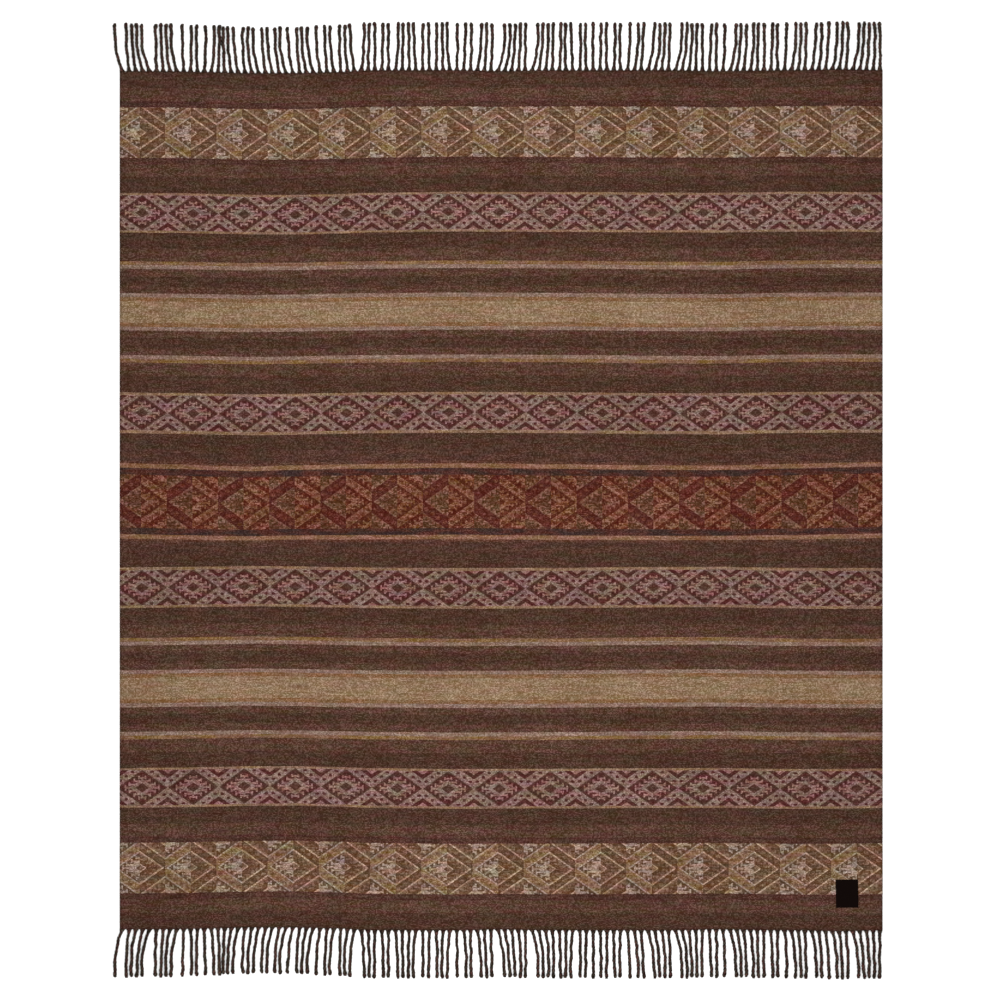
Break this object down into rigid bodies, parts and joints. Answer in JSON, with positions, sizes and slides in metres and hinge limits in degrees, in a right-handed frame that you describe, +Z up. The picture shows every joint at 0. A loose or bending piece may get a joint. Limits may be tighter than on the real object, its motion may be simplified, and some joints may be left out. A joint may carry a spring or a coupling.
{
  "type": "alpaca throw",
  "caption": "Flat woven throw with banded diamond patterns, narrow stripes, a twisted fringe along each end and a small bare sewn-on label in one corner.",
  "frame": {"origin": "middle of the cloth's underside, on the surface the throw lies on", "axes": "+X across the throw from selvedge to selvedge, +Y along its length towards the end without the label, +Z up out of the face"},
  "size_m": [1.4118, 1.7598, 0.0052],
  "materials": {
    "woven_cloth": "soft brushed wool weave, dark brown with tan, gold, mauve and maroon patterned bands",
    "twisted_fringe": "two-ply twisted wool, dark olive brown",
    "label_satin": "black satin weave"
  },
  "bodies": {
    "root": {"cloth": "woven_cloth", "fringe_top": "twisted_fringe", "fringe_bottom": "twisted_fringe", "label": "label_satin"}
  },
  "joints": []
}
